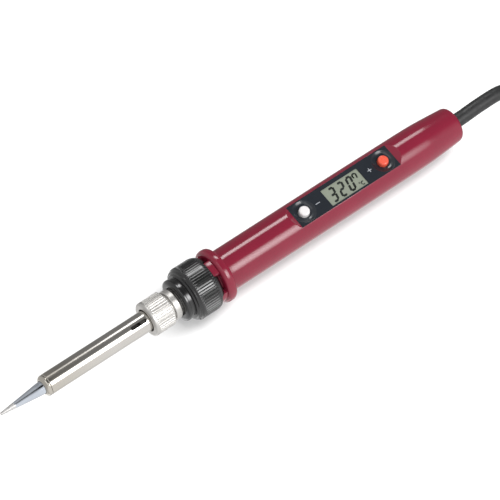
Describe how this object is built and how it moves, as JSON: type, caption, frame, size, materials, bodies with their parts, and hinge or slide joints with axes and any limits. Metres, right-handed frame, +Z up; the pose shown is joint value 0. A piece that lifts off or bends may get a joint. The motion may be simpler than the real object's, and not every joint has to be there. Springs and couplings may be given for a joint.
{
  "type": "soldering iron",
  "caption": "Pencil soldering iron with a temperature display and two buttons in a round handle, steel heater tube, pointed tip and mains lead.",
  "frame": {"origin": "on the surface that the handle's flange stands on, under the middle of the iron's 229 mm length", "axes": "+X along the iron from the tip to the cord end, +Z up out of the display, +Y to its left seen from the cord end"},
  "size_m": [0.5568, 0.0428, 0.0273],
  "materials": {
    "red_plastic": "semi-gloss moulded red",
    "black_plastic": "matt moulded black",
    "panel_black": "satin blue-black",
    "steel": "polished stainless steel",
    "nickel": "bright nickel plate",
    "tip_plate": "chrome plate with a tinned end",
    "ceramic": "off-white alumina ceramic",
    "circuit_green": "green solder mask",
    "chip_black": "moulded epoxy",
    "lcd": "grey-green reflective display",
    "white_button": "white",
    "red_button": "orange-red",
    "film_blue": "blue dipped film",
    "resistor_grey": "grey lacquer",
    "wire_white": "white sleeve",
    "wire_brown": "brown PVC",
    "wire_blue": "blue PVC",
    "wire_green": "green PVC",
    "cord_black": "black flexible PVC",
    "brass": "brass"
  },
  "bodies": {
    "handle": {"heater_element": "ceramic", "heater_mount": "ceramic", "thread_bush": "nickel", "bush_washer": "steel", "bush_locknut": "brass", "front_collar": "black_plastic", "handle_shell": "red_plastic", "display_panel": "panel_black", "minus_switch_body": "chip_black", "plus_switch_body": "chip_black", "lcd_glass": "lcd", "lcd_rear_glass": "lcd", "lcd_connector": "chip_black", "circuit_board": "circuit_green", "microcontroller": "chip_black", "triac": "chip_black", "film_capacitor": "film_blue", "electrolytic_capacitor": "chip_black", "dropper_resistor": "resistor_grey", "fuse": "wire_white", "heater_lead_1": "wire_white", "heater_lead_2": "wire_white", "sensor_lead_1": "wire_blue", "sensor_lead_2": "wire_brown", "cord_clamp": "black_plastic", "clamp_screw": "steel", "live_core": "wire_brown", "neutral_core": "wire_blue", "earth_core": "wire_green", "cord_lead": "cord_black", "cord_hank": "cord_black", "cord_tail": "cord_black", "hank_tie": "cord_black", "plug_boot": "black_plastic", "plug_body": "black_plastic", "plug_pin_1": "brass", "plug_pin_2": "brass"},
    "tube": {"heater_tube": "steel", "soldering_tip": "tip_plate"},
    "nut": {"retaining_nut": "nickel"},
    "minus_button": {"minus_button_cap": "white_button", "minus_switch_plunger": "chip_black"},
    "plus_button": {"plus_button_cap": "red_button", "plus_switch_plunger": "chip_black"}
  },
  "joints": [
    {"name": "tube_pull", "type": "slide", "parent": "handle", "child": "tube", "axis": [-1, 0, 0], "range_m": [0, 0.056]},
    {"name": "nut_turn", "type": "hinge", "parent": "tube", "child": "nut", "pos_m": [-0.04, 0, 0.01175], "axis": [1, 0, 0], "continuous": true},
    {"name": "minus_press", "type": "slide", "parent": "handle", "child": "minus_button", "axis": [0, 0, -1], "range_m": [0, 0.0003], "stiffness_N_per_m": 2500, "springref_m": -0.0003},
    {"name": "plus_press", "type": "slide", "parent": "handle", "child": "plus_button", "axis": [0, 0, -1], "range_m": [0, 0.0003], "stiffness_N_per_m": 2500, "springref_m": -0.0003}
  ]
}
